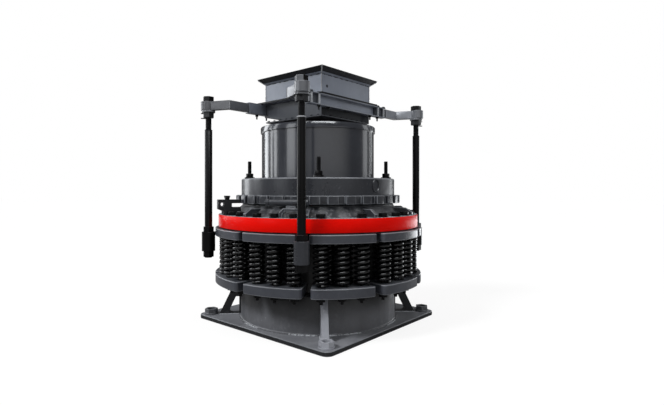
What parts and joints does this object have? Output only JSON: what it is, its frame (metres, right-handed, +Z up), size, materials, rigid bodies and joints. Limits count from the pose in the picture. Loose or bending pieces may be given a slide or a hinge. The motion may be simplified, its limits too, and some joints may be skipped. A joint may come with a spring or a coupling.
{
  "type": "spring cone crusher",
  "caption": "Cone crusher: square base, round frame, ring of coil springs under a red release ring, toothed setting ring, tall feed collar and a square feed box on posts.",
  "frame": {"origin": "middle of the base plate's underside, on the machine's upright axis", "axes": "+Z up along the crushing axis; +X and +Y square to the base plate's sides, with the two box beams along X"},
  "size_m": [1.4214, 1.4236, 1.667],
  "materials": {
    "dark_paint": "gloss",
    "red_paint": "gloss",
    "black_steel": "satin",
    "spring_steel": "satin",
    "wear_casting": "rough",
    "box_paint": "satin"
  },
  "bodies": {
    "main_frame": {"base_plate": "dark_paint", "foundation_bosses": "dark_paint", "frame_shell": "dark_paint", "frame_flange": "dark_paint", "corner_gussets": "dark_paint", "frame_hub": "dark_paint", "crushing_head": "wear_casting", "feed_plate": "wear_casting", "upper_segments": "dark_paint", "outer_springs": "spring_steel", "inner_springs": "spring_steel", "post_1": "black_steel", "post_socket_1": "black_steel", "post_arm_1": "dark_paint", "post_2": "black_steel", "post_socket_2": "black_steel", "post_arm_2": "dark_paint", "post_3": "black_steel", "post_socket_3": "black_steel", "post_arm_3": "dark_paint", "post_4": "black_steel", "post_socket_4": "black_steel", "post_arm_4": "dark_paint", "box_beam_1": "dark_paint", "box_beam_2": "dark_paint", "lower_box": "box_paint", "tie_plate": "box_paint", "upper_box": "box_paint", "box_floor": "box_paint", "box_lip": "box_paint"},
    "release_ring": {"adjusting_ring": "red_paint", "ring_lugs": "dark_paint", "pawl_stand": "dark_paint", "locking_pawl": "black_steel", "ram_bracket": "dark_paint", "turning_ram": "black_steel", "lower_segments": "dark_paint"},
    "turning_bowl": {"bowl": "dark_paint", "bowl_liner": "wear_casting", "toothed_ring": "dark_paint", "adjusting_cap": "dark_paint", "feed_collar": "dark_paint", "collar_rim": "dark_paint", "cap_studs": "black_steel"}
  },
  "joints": [
    {"name": "ring_release", "type": "slide", "parent": "main_frame", "child": "release_ring", "axis": [0, 0, 1], "range_m": [0, 0.038], "stiffness_N_per_m": 200000, "springref_m": -0.05, "deforming": ["outer_springs", "inner_springs"]},
    {"name": "bowl_turn", "type": "hinge", "parent": "release_ring", "child": "turning_bowl", "pos_m": [0, 0, 0.75], "axis": [0, 0, 1], "continuous": true}
  ]
}
